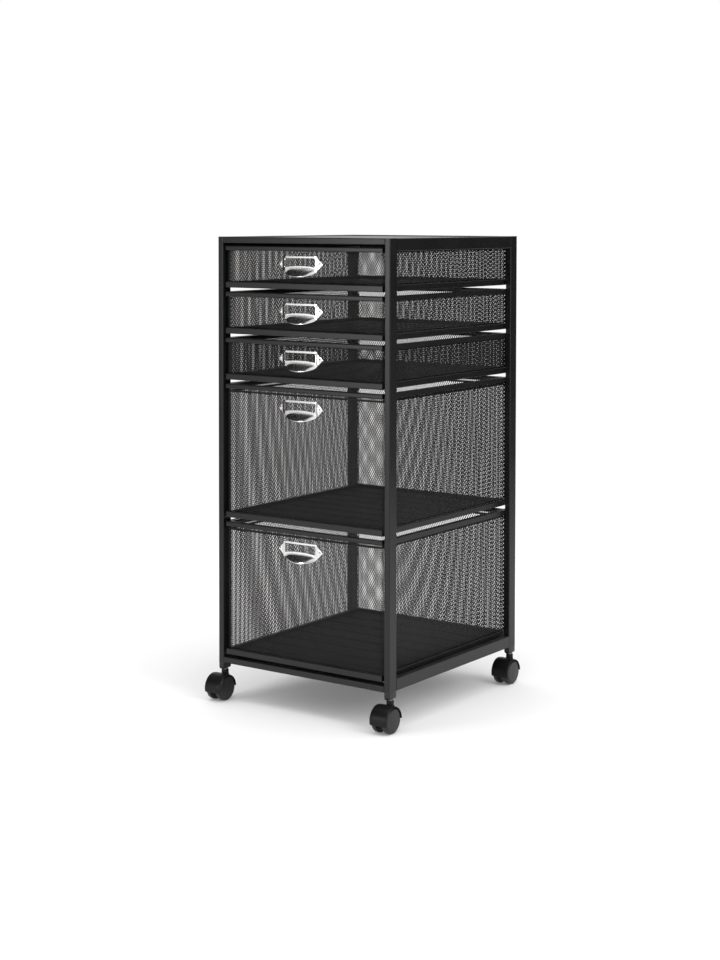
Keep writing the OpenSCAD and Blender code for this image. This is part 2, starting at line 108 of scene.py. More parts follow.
camera = bpy.data.objects.new("camera", bpy.data.cameras.new("camera"))
bpy.context.collection.objects.link(camera)
bpy.context.scene.camera = camera
turn = Matrix([list(a) for a in camera_axes(YAW, PITCH, ROLL)]).transposed().to_4x4()
camera.matrix_world = Matrix.Translation(CAMERA_PLACE) @ turn
camera.data.sensor_width = SENSOR_MM
camera.data.lens = FOCAL_PX * SENSOR_MM / IMAGE_HEIGHT
camera.data.shift_y = (AXIS_ROW - IMAGE_HEIGHT / 2) / IMAGE_HEIGHT
camera.data.clip_end = 60
print(f"lens {camera.data.lens:.1f} mm, shift {camera.data.shift_y:.3f}")

# %% [markdown]
# ## Shader maths in plain expressions
#
# A material is a graph of nodes. Written by hand, each sum takes several lines,
# so one small class stands for an output socket: `+`, `-`, `*` and `/` add a
# Math node, and `new` adds any other node. The settings are set first, because
# they may change which sockets a node has.


# %% A socket that can be used in sums
class Wire:
    """An output socket of a node tree. Arithmetic on it adds Math nodes."""

    def __init__(self, tree, socket=None):
        self.tree, self.socket = tree, socket

    def new(self, kind, settings=None, sockets=None, output=0):
        """Adds a node: its type, its settings, and the values or links of its sockets."""
        node = self.tree.nodes.new(kind)
        for name, value in (settings or {}).items():
            setattr(node, name, value)
        for name, value in (sockets or {}).items():
            if isinstance(value, Wire):
                self.tree.links.new(value.socket, node.inputs[name])
            else:
                node.inputs[name].default_value = value
        return Wire(self.tree, node.outputs[output] if len(node.outputs) else None)

    def maths(self, operation, *terms):
        """A Math node on numbers or wires."""
        return self.new("ShaderNodeMath", {"operation": operation}, dict(enumerate(terms)))

    def __add__(self, other):
        return self.maths("ADD", self, other)

    __radd__ = __add__

    def __sub__(self, other):
        return self.maths("SUBTRACT", self, other)

    def __rsub__(self, other):
        return self.maths("SUBTRACT", other, self)

    def __mul__(self, other):
        return self.maths("MULTIPLY", self, other)

    __rmul__ = __mul__

    def __truediv__(self, other):
        return self.maths("DIVIDE", self, other)

    def __rtruediv__(self, other):
        return self.maths("DIVIDE", other, self)

    def clamped(self):
        """The same value, held between 0 and 1."""
        return self.new("ShaderNodeClamp", {}, {0: self})


def graph(owner):
    """An empty node tree on a material or world, as a Wire to build from."""
    owner.use_nodes = True
    owner.node_tree.nodes.clear()
    return Wire(owner.node_tree)


print("shader maths ready")

# %% [markdown]
# ## Finishes
#
# Five finishes cover the whole object. Powder coat is baked paint: it is satin,
# and its surface has the faint waves called orange peel. The mesh has a thinner
# coat. The pulls are bright nickel, drawn by the press tool, so their scratches
# run one way. The stems and axles are plain steel. The casters are moulded
# plastic with a fine spark-eroded grain.
#
# All of them read Object coordinates, in metres, so a noise of scale 800 has
# waves a little over a millimetre long.


# %% Helpers for patterns
def place_noise(g, scale, detail=2.0, stretch=(1, 1, 1)):
    """Noise over the object's own coordinates, from 0 to 1, longer where stretch is small."""
    where = g.new("ShaderNodeTexCoord", {}, {}, "Object")
    stretched = g.new("ShaderNodeMapping", {}, {"Vector": where, "Scale": stretch})
    sockets = {"Vector": stretched, "Scale": scale, "Detail": detail}
    return g.new("ShaderNodeTexNoise", {"noise_dimensions": "3D"}, sockets)


def grey_mix(g, factor, dark, light):
    """A colour between two colours."""
    sockets = {0: factor, 6: (*dark, 1), 7: (*light, 1)}
    return g.new("ShaderNodeMix", {"data_type": "RGBA"}, sockets, 2)


def finish_with(g, **sockets):
    """Adds the Principled shader and the output. Underscores in names stand for spaces."""
    named = {name.replace("_", " "): value for name, value in sockets.items()}
    shader = g.new("ShaderNodeBsdfPrincipled", {}, named)
    g.new("ShaderNodeOutputMaterial", {}, {"Surface": shader})


print("pattern helpers ready")

# %% Powder coat on tubes, bars and sheet
PATCHES = 14
SPECKS = 2600


def powder_coat(name, dark, light, waves=650, depth=0.00006, rough=0.30, shine=0.35):
    """Satin black with orange peel, a slow change in gloss, and a trace of dust on top."""
    material = bpy.data.materials.new(name)
    g = graph(material)
    peel = place_noise(g, waves, 3)
    slow = place_noise(g, PATCHES)
    speck = place_noise(g, SPECKS, 1)
    facing = g.new("ShaderNodeNewGeometry", {}, {}, "Normal")
    upward = g.new("ShaderNodeSeparateXYZ", {}, {0: facing}, 2).clamped()
    dust = upward * (slow - 0.35).clamped() * 0.6
    tone = ((speck - 0.5) * 0.6 + slow + dust).clamped()
    bump = g.new("ShaderNodeBump", {}, {"Strength": 0.35, "Distance": depth, "Height": peel})
    finish_with(
        g,
        Base_Color=grey_mix(g, tone, dark, light),
        Roughness=rough + slow * 0.10 + dust * 0.15 + (speck - 0.5) * 0.06,
        Specular_IOR_Level=shine,
        Normal=bump,
    )
    return material


coat = powder_coat("powder_coat", (0.0050, 0.0050, 0.0053), (0.0088, 0.0088, 0.0091))
sheet_coat = powder_coat("powder_coat_sheet", (0.006, 0.006, 0.0063), (0.010, 0.010, 0.0104), 520)
MATT = {"rough": 0.62, "shine": 0.2}
floor_coat = powder_coat("powder_coat_floor", (0.004, 0.004, 0.0042), (0.007, 0.007, 0.0073), 520, **MATT)
mesh_coat = powder_coat("mesh_coat", (0.008, 0.008, 0.008), (0.014, 0.014, 0.014), 1500, 0.00003)
print("powder coats:", coat.name, sheet_coat.name, floor_coat.name, mesh_coat.name)


# %% Bright nickel, plain steel and moulded plastic
def drawn_metal(name, colour, dull, rough, along=(30, 900, 900), depth=0.00001):
    """Metal with fine scratches that run along X, and a slow stain."""
    material = bpy.data.materials.new(name)
    g = graph(material)
    scratch = place_noise(g, 1.0, 2, along)
    stain = place_noise(g, 60, 3)
    bump = g.new("ShaderNodeBump", {}, {"Strength": 0.2, "Distance": depth, "Height": scratch})
    finish_with(
        g,
        Base_Color=grey_mix(g, (stain - 0.3).clamped(), colour, dull),
        Metallic=1.0,
        Roughness=rough + (scratch - 0.5) * 0.08 + (stain - 0.5) * 0.06,
        Normal=bump,
    )
    return material


def moulded_plastic(name, dark, light, rough, shine, grain=1400):
    """Black plastic with a fine grain from the mould."""
    material = bpy.data.materials.new(name)
    g = graph(material)
    fine = place_noise(g, grain, 1)
    slow = place_noise(g, 40, 2)
    bump = g.new("ShaderNodeBump", {}, {"Strength": 0.3, "Distance": 0.00004, "Height": fine})
    finish_with(
        g,
        Base_Color=grey_mix(g, slow, dark, light),
        Roughness=rough + (slow - 0.5) * 0.12 + (fine - 0.5) * 0.08,
        Specular_IOR_Level=shine,
        Normal=bump,
    )
    return material


nickel = drawn_metal("bright_nickel", (0.78, 0.775, 0.77), (0.66, 0.655, 0.65), 0.20)
steel = drawn_metal("plain_steel", (0.30, 0.30, 0.30), (0.22, 0.22, 0.22), 0.45)
hood_plastic = moulded_plastic("hood_plastic", (0.004, 0.004, 0.0042), (0.007, 0.007, 0.0073), 0.42, 0.2)
wheel_plastic = moulded_plastic("wheel_plastic", (0.006, 0.006, 0.006), (0.011, 0.011, 0.011), 0.28, 0.38)
plug_plastic = moulded_plastic("plug_plastic", (0.008, 0.008, 0.008), (0.012, 0.012, 0.012), 0.38, 0.4)
bare = (nickel, steel, hood_plastic, wheel_plastic, plug_plastic)
print("metals and plastics:", *(material.name for material in bare))

# %% [markdown]
# ## Dressing the CAD nodes
#
# Tubes, bars, runners and sheet already have the right shape in CAD, so they
# keep it and only take a finish. Materials could be given by hand, node by node.
# Here the last word of a node's name says what it is made of, so one short table
# dresses them all.

# %% Give each CAD node its finish
NODE_FINISH = {
    "posts": coat,
    "rails": coat,
    "panel": sheet_coat,
    "plugs": plug_plastic,
    "runners": sheet_coat,
    "stems": steel,
    "rim": coat,
    "walls": mesh_coat,
    "floor": floor_coat,
    "base": coat,
    "strips": sheet_coat,
    "pull": nickel,
    "rivets": nickel,
    "hood": hood_plastic,
    "axle": steel,
    "left": wheel_plastic,
    "right": wheel_plastic,
}
for name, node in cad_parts.items():
    finish = NODE_FINISH[name.split("_")[-1]]
    node.data.materials.clear()
    node.data.materials.append(finish)
print("finishes on", len(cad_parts), "nodes")

# %% [markdown]
# ## From arrays to a piece
#
# Every new piece is an array of points and an array of faces. `foreach_set`
# hands whole arrays to Blender, so a wall of a hundred thousand faces takes a
# moment. The signed volume of the faces says whether they point outward, and
# they are turned round if they don't. Edges sharper than 38 degrees on stamped
# metal, 32 on moulded and turned parts and 30 on the folded sheet stay edges.

# %% Make a piece from arrays
STAMPED, MOULDED, FOLDED = 38, 32, 30


def signed_volume(points, quads):
    """A sixth of the sum of corner products over the two triangles of each quad."""
    a, b, c, d = (points[quads[:, k]] for k in range(4))
    return float((np.cross(a, b) * c).sum() + (np.cross(a, c) * d).sum()) / 6


def make_piece(name, points, quads, body, finish, slot, replaces=(), angle=None):
    """A mesh of quads. A quad that names a corner twice is written as a triangle.
    angle, in degrees, keeps edges sharper than that as edges, and shades the rest smooth."""
    points = np.asarray(points, dtype=np.float32).reshape(-1, 3)
    if signed_volume(points.astype(float), quads) < 0:
        quads = quads[:, [1, 0, 3, 2]]
    corners = np.where(quads[:, 3] == quads[:, 2], 3, 4)
    keep = np.ones(quads.shape, bool)
    keep[:, 3] = corners == 4
    loops = quads[keep]
    starts = np.concatenate([[0], np.cumsum(corners)[:-1]])
    mesh = bpy.data.meshes.new(name)
    mesh.vertices.add(len(points))
    mesh.vertices.foreach_set("co", points.ravel())
    mesh.loops.add(len(loops))
    mesh.loops.foreach_set("vertex_index", loops.astype(np.int32))
    mesh.polygons.add(len(quads))
    mesh.polygons.foreach_set("loop_start", starts.astype(np.int32))
    mesh.update(calc_edges=True)
    mesh.validate()
    mesh.materials.append(finish)
    if angle is not None:
        mesh.shade_smooth()
        mesh.set_sharp_from_angle(angle=math.radians(angle))
    piece = bpy.data.objects.new(name, mesh)
    bpy.context.collection.objects.link(piece)
    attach(piece, body)
    if replaces:
        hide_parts(*replaces)
    return piece


def grid_quads(rows, columns, wrap_rows=False, wrap_columns=False):
    """Quads between the neighbours of a grid of points, row by row."""
    r = np.arange(rows if wrap_rows else rows - 1)[:, None]
    c = np.arange(columns if wrap_columns else columns - 1)[None, :]
    r2, c2 = (r + 1) % rows, (c + 1) % columns
    corners = [r * columns + c, r * columns + c2, r2 * columns + c2, r2 * columns + c]
    return np.stack(np.broadcast_arrays(*corners), -1).reshape(-1, 4)


print("piece maker ready")

# %% [markdown]
# ## Expanded metal
#
# Expanded metal is one sheet, slit in rows and pulled open, so each opening is a
# diamond between two strands that touch at the bonds. A texture with holes would
# look flat and vanish at a slant. Here each strand is real: a thin bar that
# zigzags from the base to the rim. Its neighbours zigzag the other way, so they
# meet at the bonds and part between them, and light comes through only where it
# would in the real wall. The bars are deeper than they are wide, so the wall
# closes up when it is seen from the side, as in the photograph.
#
# The walls are folded round the drawer's corners, so the strands stand side by
# side along one closed path, a rectangle with rounded corners.


# %% A folded path
def folded_path(low, high, radius, arc_steps=12):
    """A closed path round a rectangle with rounded corners, as a table: distance
    along it, point, and outward normal. It starts in the middle of the front."""
    corner = np.radians(np.linspace(0, 90, arc_steps + 1))
    inner_low, inner_high = low + radius, high - radius
    centres = [(inner_high[0], inner_low[1]), inner_high, (inner_low[0], inner_high[1]), inner_low]
    points, normals = [], []
    for centre, first in zip(centres, (-90, 0, 90, 180)):
        a = corner + math.radians(first)
        way = np.stack([np.cos(a), np.sin(a)], 1)
        points.append(centre + radius * way)
        normals.append(way)
    middle = np.array([[(low[0] + high[0]) / 2, low[1]]])
    front = np.array([[0.0, -1.0]])
    points = np.concatenate([middle, *points, middle])
    normals = np.concatenate([front, *normals, front])
    steps = np.linalg.norm(np.diff(points, axis=0), axis=1)
    return np.concatenate([[0], np.cumsum(steps)]), points, normals


print("path maker ready")

# %% Strands along a path, in metres
STRAND_PITCH = 0.00208
HALF_CELL = 0.00335
STRAND_WIDTH, STRAND_DEPTH = 0.00060, 0.00080
BOND_STEP = 0.00003


def zigzag_strands(numbers, pitch, heights, way, width=STRAND_WIDTH, depth=STRAND_DEPTH, shift=0.0):
    """Four-sided bars. Strand k runs up the heights, and its line swings by half of
    what is left of the pitch, right at even steps for even k and left for odd k:
    s = (k + 1/2) pitch + (pitch - width)/2 (-1)^(k+j) + across + shift. way(s, out) turns
    the distance along the wall and out of it into x and y. width, depth and shift may be
    arrays, one value for each strand. Odd strands lie a bond step further in, so that no
    two faces share a plane where strands touch."""
    width, depth, shift = (np.reshape(v, (-1, 1, 1)) for v in (width, depth, shift))
    k = np.asarray(numbers)[:, None, None]
    j = np.arange(len(heights))[None, :, None]
    swing = (pitch - width) / 2 * np.where((k + j) % 2 == 0, 1.0, -1.0)
    across = np.array([-0.5, 0.5, 0.5, -0.5])[None, None, :] * width
    out = np.array([0.0, 0.0, 1.0, 1.0])[None, None, :] * depth - np.where(k % 2 == 0, 0, BOND_STEP)
    s = (k + 0.5) * pitch + swing + across + shift
    s, out = np.broadcast_arrays(s, out + 0 * s)
    flat = way(s, out)
    z = np.broadcast_to(heights[None, :, None], s.shape)
    points = np.concatenate([flat, z[..., None]], -1)
    rings = grid_quads(len(heights), 4, wrap_columns=True)
    last = 4 * (len(heights) - 1)
    ends = np.array([[0, 3, 2, 1], [last, last + 1, last + 2, last + 3]])
    one = np.concatenate([rings, ends])
    first = 4 * len(heights) * np.arange(len(numbers))[:, None, None]
    return points.reshape(-1, 3), (one[None] + first).reshape(-1, 4)


print("strand maker ready")

# %% [markdown]
# ## The drawers' walls
#
# A wall's outer face stays where the CAD wall's is. The number of strands is the
# even number that comes nearest to the pitch, so that the pattern closes on
# itself. A deep drawer's wall has about three hundred thousand triangles, so it
# is made in four pieces, cut at the middle of each fold.
#
# Perfectly even strands in two walls, one behind the other, beat against each
# other in broad bands. The slitting press leaves no two strands quite alike, so
# each gets its own width and wanders a little, and the bands break up into the
# upright streaks of the photograph. The random numbers start from the drawer's
# own number, so the wall comes out the same each time.

# %% Uneven strands
STRAND_WANDER = 0.00016
WIDTH_SPREAD = 0.05


def uneven_strands(i, count):
    """How far each strand of drawer i is shifted, as a mean over three neighbours, and
    the factor by which it is wider than the rest."""
    uneven = np.random.default_rng(i).normal(size=(2, count))
    wander = STRAND_WANDER * (uneven[0] + np.roll(uneven[0], 1) + np.roll(uneven[0], 2)) / 3
    return wander, 1 + WIDTH_SPREAD * np.clip(uneven[1], -2, 2)


wander, wider = uneven_strands(1, 100)
print(f"strands wander up to {1000 * abs(wander).max():.2f} mm")
print(f"their widths differ by up to {abs(wider - 1).max():.0%}")

# %% Wall round each drawer
FOLD_RADIUS = 0.0005
FOUR_PARTS = ("front", "right", "back", "left")


def mesh_wall(i, parts, plain, sides):
    """The folded wall of drawer i, in one piece or in four. plain is the width and depth
    of the strands at front and back, and sides those of the side walls."""
    node = f"drawer_{i}_walls"
    low, high = (np.array(v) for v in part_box(node))
    length, points, normals = folded_path(low[:2], high[:2], FOLD_RADIUS)
    around = length[-1]
    count = 2 * round(around / STRAND_PITCH / 2)
    pitch = around / count
    steps = round((high[2] - low[2]) / HALF_CELL)
    heights = np.linspace(low[2], high[2], steps + 1)
    wander, wider = uneven_strands(i, count)
    deepest = max(plain[1], sides[1])

    def way(s, out):
        at = [np.interp(s % around, length, column) for column in (*points.T, *normals.T)]
        inward = out - deepest
        return np.stack([at[0] + at[2] * inward, at[1] + at[3] * inward], -1)

    quarter = math.pi / 2 * FOLD_RADIUS
    first = (high[0] - low[0]) / 2 - FOLD_RADIUS + quarter / 2
    side = high[1] - low[1] - 2 * FOLD_RADIUS + quarter
    cuts = [0, around]
    if len(parts) == 4:
        cuts = [-first, first, first + side, around - first - side, around - first]
    made = 0
    for part, begin, end in zip(parts, cuts, cuts[1:]):
        numbers = np.arange(math.ceil(begin / pitch), math.ceil(end / pitch))
        # A strand is in a side wall if it is less than half that wall from its middle.
        from_middle = abs((numbers + 0.5) * pitch % around - around / 2)
        from_side = abs(from_middle - (around / 2 - first - side / 2))
        width, depth = (np.where(from_side < side / 2, s, p) for s, p in zip(sides, plain))
        width = width * wider[numbers % count]
        strands = zigzag_strands(numbers, pitch, heights, way, width, depth, wander[numbers % count])
        make_piece(f"drawer_{i}_mesh_{part}", *strands, f"drawer_{i}", mesh_coat, "mesh_black", [node])
        made += len(numbers)
    return made, steps


SHALLOW = (0.00063, 0.00083), (0.00066, 0.00088)
DENSER = (0.00073, 0.00100), (0.00079, 0.00112)
DEEP = (STRAND_WIDTH, STRAND_DEPTH), (STRAND_WIDTH, STRAND_DEPTH)
for i, sizes in enumerate((SHALLOW, SHALLOW, DENSER), 1):
    mesh_wall(i, ("wall",), *sizes)
for i in (4, 5):
    strands, steps = mesh_wall(i, FOUR_PARTS, *DEEP)
print("deep wall:", strands, "strands of", steps, "half cells")

# %% [markdown]
# ## The shallow drawers' floors
#
# They are the same metal, lying flat. The strands run from front to back,
# between the base's bars. The same maker serves: its upright is turned into the
# way back by swapping two columns of the points.

# %% Mesh floor in each shallow drawer
for i in (1, 2, 3):
    node = f"drawer_{i}_floor"
    low, high = (np.array(v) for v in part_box(node))
    count = round((high[0] - low[0]) / STRAND_PITCH)
    runs = np.linspace(low[1], high[1], round((high[1] - low[1]) / HALF_CELL) + 1)

    def lying(s, out):
        return np.stack([low[0] + s, high[2] - STRAND_DEPTH + out], -1)

    points, quads = zigzag_strands(np.arange(count), (high[0] - low[0]) / count, runs, lying)
    points = points[:, [0, 2, 1]]
    make_piece(f"drawer_{i}_mesh_floor", points, quads, f"drawer_{i}", mesh_coat, "mesh_black", [node])
print("floor strands:", count)

# %% [markdown]
# ## Shells and how they are joined
#
# The pulls, the casters and the top are closed shells of three kinds: a row of
# rings, a profile spun about an axis, and a section swept along a path. Each
# shell is turned outward by its own volume before it joins the others of its
# piece, because in a sum a small shell that is inside out would go unnoticed.
# A fan that closes an end names its last corner twice, which makes a triangle.


# %% Shell helpers
def outward(points, quads):
    """The same shell with its faces outward. The swap keeps a doubled corner last."""
    points = np.asarray(points, float).reshape(-1, 3)
    if signed_volume(points, quads) < 0:
        quads = quads[:, [1, 0, 3, 2]]
    return points, quads


def joined(*shells):
    """Several shells as one array of points and one of quads."""
    points, quads = zip(*shells)
    first = np.cumsum([0] + [len(p) for p in points[:-1]])
    return np.concatenate(points), np.concatenate([q + k for q, k in zip(quads, first)])


def fan(ring, hub):
    """Triangles from the hub's index to a closed ring of indices."""
    ring = np.asarray(ring)
    ahead = np.roll(ring, -1)
    return np.stack([np.full(len(ring), hub), ring, ahead, ahead], 1)


def capped_rings(rings):
    """A tube through closed rings, whose two ends are fans about the rings' middles."""
    rows, columns = rings.shape[:2]
    middles = rings[[0, -1]].mean(1)
    points = np.concatenate([rings.reshape(-1, 3), middles])
    low = fan(np.arange(columns)[::-1], rows * columns)
    high = fan(np.arange(columns) + (rows - 1) * columns, rows * columns + 1)
    return outward(points, np.concatenate([grid_quads(rows, columns, wrap_columns=True), low, high]))


def spun(profile, axis, steps=72):
    """A profile of (radius, height) pairs spun about an axis, "x" or "z":
    (r cos a, r sin a, h), with h put on the axis."""
    r, h = np.asarray(profile, float).T[:, :, None]
    a = np.linspace(0, 2 * math.pi, steps, endpoint=False)[None, :]
    u, v, w = r * np.cos(a), r * np.sin(a), h + 0 * a
    return capped_rings(np.stack([w, u, v] if axis == "x" else [u, v, w], -1))


print("shell helpers ready")

# %% [markdown]
# ## The rear folds
#
# The wall's two ends are lapped and pressed shut at the rear folds, so no light
# comes through there. The strands could be bent over each other, but at this size
# nobody would see it, so a thin round bar at each rear fold stands for the seam.

# %% Pressed seams at the rear folds, in millimetres
SEAM_RADIUS, SEAM_OUT, NEAR_AXIS = 0.8, 0.4, 0.02
for i in range(1, 6):
    low, high = (1000 * np.array(v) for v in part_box(f"drawer_{i}_walls"))
    line = [(NEAR_AXIS, low[2]), (SEAM_RADIUS, low[2]), (SEAM_RADIUS, high[2]), (NEAR_AXIS, high[2])]
    points, quads = spun(line, "z", 16)
    places = ([side * (high[0] + SEAM_OUT), high[1] - SEAM_RADIUS, 0] for side in (-1, 1))
    points, quads = joined(*((points + place, quads) for place in places))
    seams = (f"drawer_{i}_fold_seams", points / 1000, quads, f"drawer_{i}", mesh_coat)
    make_piece(*seams, "mesh_black", angle=STAMPED)
print("seams at x", round(float(high[0]) + SEAM_OUT, 1), "mm")

# %% [markdown]
# ## The stamped pulls
#
# Each pull is one stamping of thin bright metal. A plate with a card window
# lies on the mesh and has a pointed ear at each side, and below the window the
# metal swells out into a cup for the fingers. It could be cut from a box with
# Booleans, but the bright look comes from long smooth curves, so both parts are
# surfaces. The plate is a ring between two outlines that are paired point by
# point. The cup is a row of upright sections from side to side, each of which
# leans forward and down to the lip.

# %% Outlines of the plate, in millimetres from the top of the pull
WINDOW_HALF, WINDOW_TOP, WINDOW_LOW, WINDOW_ARCH = 29.5, -3.5, -17.2, 2.2
CUP_BACK, CUP_OUT, CUP_RISE, CUP_FALL, CUP_LOW = 44.2, 9.5, 6.4, 6.9, -25.0
CUP_BEND = 0.75
CUP_HALF = math.acos(CUP_BACK / (CUP_BACK + CUP_OUT))
EAR_X, EAR_Z = 38.1, -13
EAR_SIDE = [(32.2, 0), (34.5, -4.75), (42.4, -11.9), (43.5, EAR_Z)]
EAR_SIDE += [(42.4, -14.1), (34.5, -21.25), (31.5, CUP_LOW)]


def spread(corners, count):
    """Points at even distances along a line of corners. The last corner is left out."""
    corners = np.asarray(corners, float)
    steps = np.linalg.norm(np.diff(corners, axis=0), axis=1)
    at = np.concatenate([[0], np.cumsum(steps)])
    where = np.linspace(0, at[-1], count, endpoint=False)
    return np.stack([np.interp(where, at, column) for column in corners.T], 1)


def cup_root(turn):
    """Where the cup leaves the plate: x = back tan(turn), and z on an arch over CUP_LOW,
    z = low + rise root(1 - s^2) with s = (back / cos(turn) - back) / out."""
    sine = (CUP_BACK / np.cos(turn) - CUP_BACK) / CUP_OUT
    z = CUP_LOW + CUP_RISE * np.sqrt(np.clip(1 - sine**2, 0, 1))
    return np.stack([CUP_BACK * np.tan(turn), z], 1)


def plate_outlines():
    """The window's outline and the plate's, both from the top left, paired."""
    far = [(-x, z) for x, z in reversed(EAR_SIDE)]
    arch = cup_root(np.linspace(CUP_HALF, -CUP_HALF, 60))
    top = spread([far[-1], EAR_SIDE[0]], 40)
    outer = np.concatenate([top, spread(EAR_SIDE, 48), arch, spread(far, 48)])
    x = np.linspace(WINDOW_HALF, -WINDOW_HALF, 60)
    sill = np.stack([x, WINDOW_LOW + WINDOW_ARCH * (1 - (x / WINDOW_HALF) ** 2)], 1)
    right = [(WINDOW_HALF, WINDOW_TOP), (WINDOW_HALF, WINDOW_LOW)]
    left = [(-x, z) for x, z in reversed(right)]
    lintel = spread([left[-1], right[0]], 40)
    inner = np.concatenate([lintel, spread(right, 48), sill, spread(left, 48)])
    return inner, outer


print(f"cup spans {2 * math.degrees(CUP_HALF):.0f} degrees")

# %% Plate
PULL_THICK = 1.2
RAMP_START, RAMP_RUN = 29.8, 4.7


def pull_plate(raised=0.9, edge=0.35):
    """Across the ring, from the window to the outline, the front is thick + raised
    high, falls to thick along the ramp that starts beside the window, and is rounded off
    by edge at both rims. Points are (x, forward, z)."""
    inner, outer = plate_outlines()
    share = np.array([0, 0.03, 0.08, 0.16, 0.26, 0.36, 0.46, 0.56, 0.66, 0.76, 0.86, 0.93, 0.97, 1])
    flat = inner[:, None] + share[None, :, None] * (outer - inner)[:, None]
    ramp = np.clip((np.abs(flat[..., 0]) - RAMP_START) / RAMP_RUN, 0, 1)
    front = PULL_THICK + raised * (1 - ramp)
    rim = np.minimum(share, 1 - share)
    front = front - edge * np.clip(1 - rim / 0.05, 0, 1) ** 2
    back = flat[:, [-1, 0]]
    across = np.concatenate([flat, back], 1)
    forward = np.concatenate([front, np.zeros(back.shape[:2])], 1)
    rings = np.stack([across[..., 0], forward, across[..., 1]], -1)
    quads = grid_quads(*rings.shape[:2], wrap_rows=True, wrap_columns=True)
    return outward(rings, quads)


print("plate:", len(pull_plate()[1]), "faces")

# %% Cup
LIP_RADIUS = 1.1


def pull_cup(rows=65):
    """Upright sections, one for each x. The lip's plan is a circle about a line that is
    CUP_BACK behind the plate, and it falls as it comes forward. Each section is a bent
    line from the plate (u = 1) to the lip (u = 0), forward = reach (1 - (1 - bend) u -
    bend u^2) and z = lip + drop u, then the lip's roll, then back inside."""
    turn = np.linspace(-CUP_HALF, CUP_HALF, rows)
    x = CUP_BACK * np.tan(turn)
    reach = np.sqrt(np.maximum((CUP_BACK + CUP_OUT) ** 2 - x**2, 0)) - CUP_BACK
    reach = np.maximum(reach, 0.02)[:, None]
    lip = CUP_LOW - CUP_FALL / CUP_OUT * reach
    drop = cup_root(turn)[:, 1:] - lip
    u = np.linspace(1, 0, 24)[None, :]
    leaning = 1 - (1 - CUP_BEND) * u - CUP_BEND * u**2
    outer = reach * leaning, lip + drop * u
    wall = np.minimum(PULL_THICK, 0.8 * reach)
    roll_radius = np.minimum(LIP_RADIUS, 0.45 * reach)
    roll = np.radians(np.linspace(0, -190, 11))[None, 1:]
    rolled = reach - roll_radius + roll_radius * np.cos(roll), lip + roll_radius * np.sin(roll)
    inner = (reach - wall) * leaning[:, -2::-1], lip + np.maximum(drop - wall, 0.01) * u[:, -2::-1]
    forward, z = (np.concatenate(parts, 1) for parts in zip(outer, rolled, inner))
    return capped_rings(np.stack([x[:, None] + 0 * z, forward, z], -1))


print("cup:", len(pull_cup()[1]), "faces")

# %% Rivet heads in millimetres, and the pulls in place in metres
PULL_LEFT, DEEP_PULL_RAISED = 0.0035, 0.001


def rivet_head(side, radius=2.4, height=1.1):
    """A shallow dome on an ear, height root(1 - r^2) high for r from 0 to 1, whose foot
    is sunk into the plate."""
    r = np.array([0.02, 0.3, 0.55, 0.75, 0.9, 0.98, 1.0, 1.0])
    h = np.append(height * np.sqrt(1 - r[:-1] ** 2), -0.4)
    points, quads = spun(np.stack([radius * r, h], 1), "z", 32)
    points = points[:, [0, 2, 1]] + [side * EAR_X, PULL_THICK, EAR_Z]
    return outward(points, quads)


def stamped_pull(i):
    """The plate and cup of drawer i's pull, and its rivet heads, on the CAD's plane. In
    the photograph the pulls are a little left of the middle, and the deep drawers' are
    a millimetre higher."""
    low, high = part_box(f"drawer_{i}_pull")
    raised = DEEP_PULL_RAISED if i > 3 else 0
    origin = np.array([(low[0] + high[0]) / 2 - PULL_LEFT, high[1], high[2] + raised])
    made = []
    for name, shells, node in (
        ("pull", (pull_plate(), pull_cup()), f"drawer_{i}_pull"),
        ("rivet_heads", (rivet_head(-1), rivet_head(1)), f"drawer_{i}_rivets"),
    ):
        points, quads = joined(*shells)
        points = origin + points * [0.001, -0.001, 0.001]
        # Forward is -Y, and mirroring turns the faces inside out, so they are turned back.
        quads = quads[:, [1, 0, 3, 2]]
        piece = (f"drawer_{i}_stamped_{name}", points, quads, f"drawer_{i}", nickel)
        made.append(make_piece(*piece, "nickel", [node], STAMPED))
    return made


for i in range(1, 6):
    pull, heads = stamped_pull(i)
print("pull:", len(pull.data.polygons), "faces")

# %% [markdown]
# ## The casters
#
# A twin-wheel caster is three mouldings: a hood with a centre web and a neck,
# and a wheel on each side. The hood is one section, as wide as the caster, swept
# from its rear edge over the top to the front. Its crown is nearly flat and the
# wheels' discs fill its ends, as in the photograph. The disc has a bead round
# its edge, a fine groove inside it, and a face that swells a little, so that it
# catches a soft light at the top.

# %% Hood, in millimetres from the axle, and the neck's top from the floor
HOOD_HALF, WEB_HALF = 15.5, 5.5
WEB_INNER, HUB_RADIUS = 4.0, 7
HOOD_SWEEP = 196
CROWN_RISE, CROWN_FALL, EDGE_FALL = 1.4, 0.6, 0.3
CASTER_TRAIL = 12.0
NECK_ROOT, NECK_TOP = 15.5, 47.5
NECK = [(0.3, 12), (6.4, 12), (8.2, NECK_ROOT), (7.2, NECK_ROOT + 2), (6.4, NECK_ROOT + 3.2)]
NECK += [(5.9, NECK_ROOT + 4.6), (5.8, NECK_ROOT + 6)]


